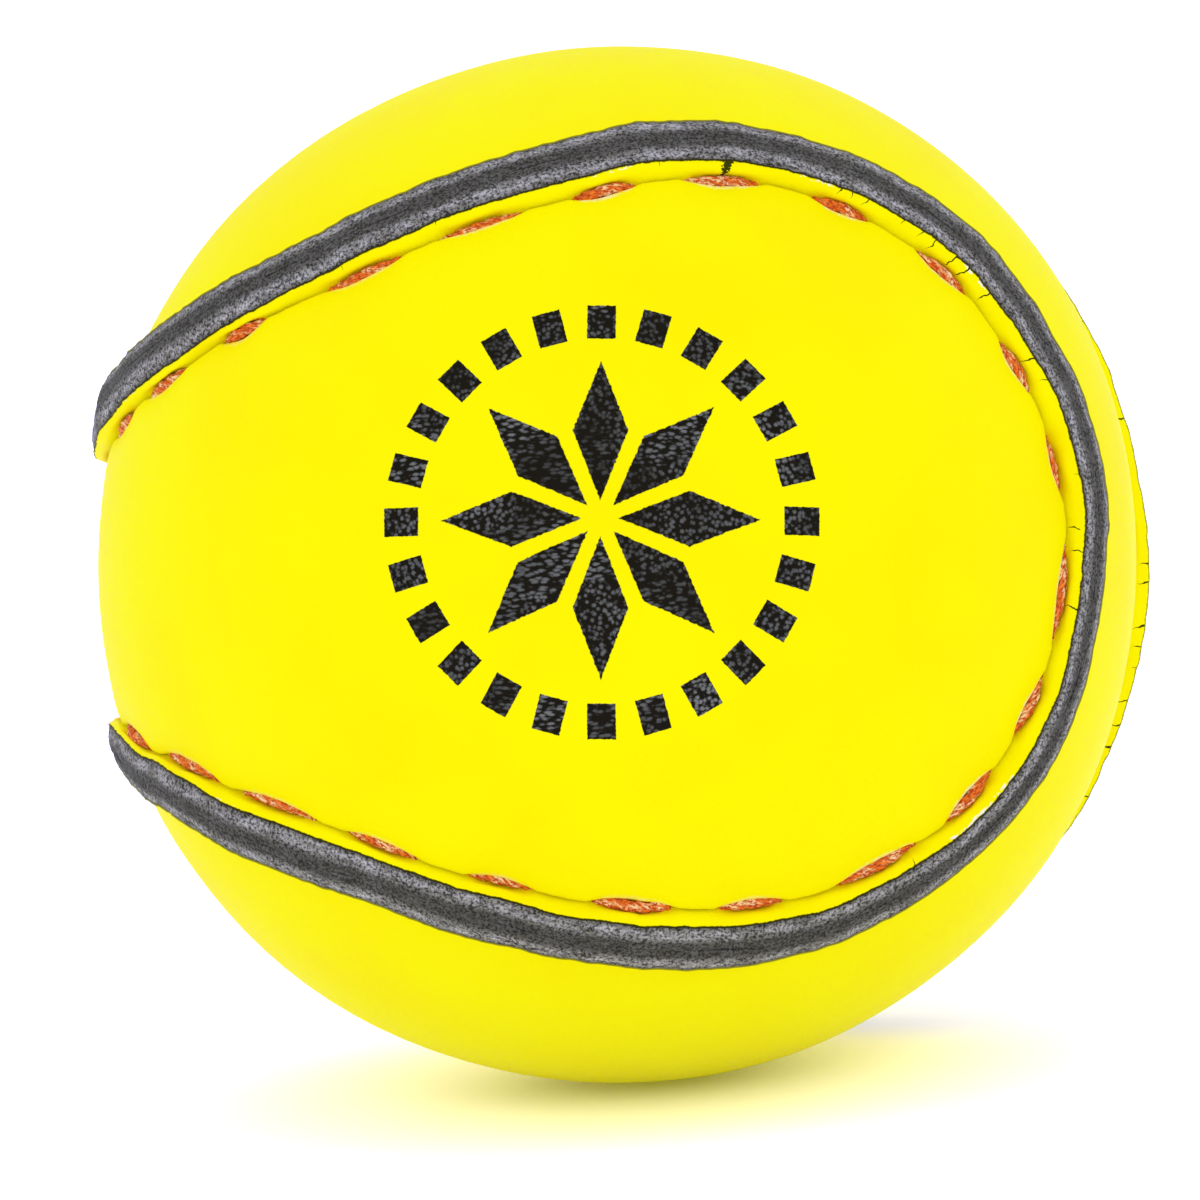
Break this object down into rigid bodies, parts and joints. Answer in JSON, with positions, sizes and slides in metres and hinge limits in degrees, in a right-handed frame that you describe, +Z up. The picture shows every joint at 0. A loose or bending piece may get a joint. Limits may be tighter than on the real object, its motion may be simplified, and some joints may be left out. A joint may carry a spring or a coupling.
{
  "type": "hurling ball",
  "caption": "Leather-covered hurling ball: two coated figure-eight panels with raised sewn ribs round a moulded core.",
  "frame": {"origin": "centre of the ball", "axes": "+Z up as the ball lies, -Y towards the front lobe, +X through the middle of the top panel's waist"},
  "size_m": [0.0706, 0.0702, 0.0702],
  "materials": {
    "core": "dull moulded polyurethane",
    "cut_leather": "dyed leather, velvety where it is cut",
    "yellow_coating": "fluorescent yellow coating over fine leather grain, satin",
    "waxed_thread": "brick-red waxed twisted thread"
  },
  "bodies": {
    "root": {"core": "core", "front_panel_leather": "cut_leather", "front_panel_coating": "yellow_coating", "top_panel_leather": "cut_leather", "top_panel_coating": "yellow_coating", "seam_thread": "waxed_thread"}
  },
  "joints": []
}
